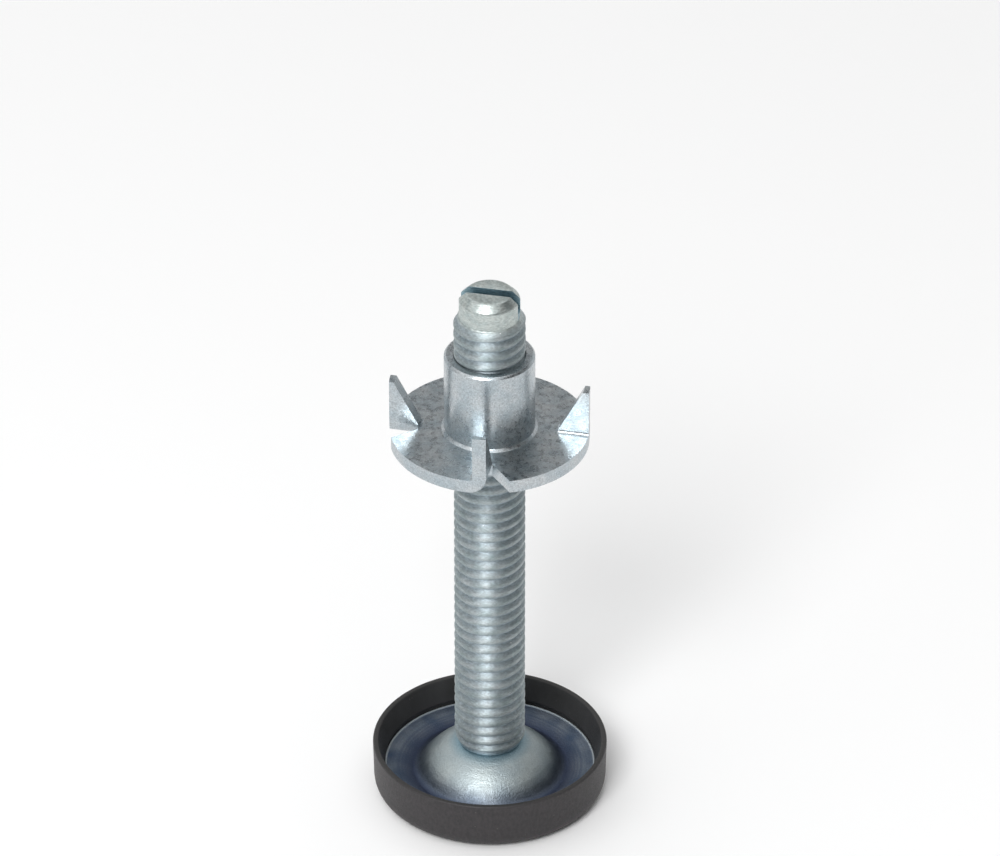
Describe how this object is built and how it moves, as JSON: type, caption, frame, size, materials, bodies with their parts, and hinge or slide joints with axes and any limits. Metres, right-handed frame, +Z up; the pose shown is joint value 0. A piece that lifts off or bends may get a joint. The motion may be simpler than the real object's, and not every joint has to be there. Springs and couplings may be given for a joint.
{
  "type": "adjustable cabinet leg",
  "caption": "Screw-adjustable cabinet leg: a slotted zinc-plated spindle in a drive-in nut, riveted to a tilting domed plate that sits in a round black plastic glide cup.",
  "frame": {"origin": "middle of the glide cup's underside, on the floor", "axes": "+Z up along the spindle, +X along the slot in the spindle's tip"},
  "size_m": [0.0262, 0.0262, 0.0656],
  "materials": {
    "black_plastic": "matt moulded black plastic",
    "zinc_plate": "satin zinc plate with a faint blue tint",
    "zinc_washer": "satin zinc plate",
    "zinc_spindle": "bright zinc plate over a rolled thread",
    "zinc_nut": "bright zinc plate"
  },
  "bodies": {
    "foot": {"glide_cup": "black_plastic", "swivel_plate": "zinc_plate"},
    "rivet_washer": {"retaining_washer": "zinc_washer"},
    "screw": {"spindle": "zinc_spindle"},
    "nut": {"drive_in_nut": "zinc_nut"}
  },
  "joints": [
    {"name": "foot_tilt", "type": "hinge", "parent": "foot", "child": "rivet_washer", "pos_m": [0, 0, -0.00295], "axis": [0, 1, 0], "range_deg": [-4, 4]},
    {"name": "spindle_turn", "type": "hinge", "parent": "rivet_washer", "child": "screw", "pos_m": [0, 0, 0.03], "axis": [0, 0, 1], "range_deg": [-1440, 10800]},
    {"name": "height_adjust", "type": "slide", "parent": "rivet_washer", "child": "nut", "axis": [0, 0, 1], "range_m": [-0.03751, 0.00501]}
  ],
  "couplings": [
    {"joint": "height_adjust", "follows": "spindle_turn", "m_per_rad": -0.00019894}
  ]
}
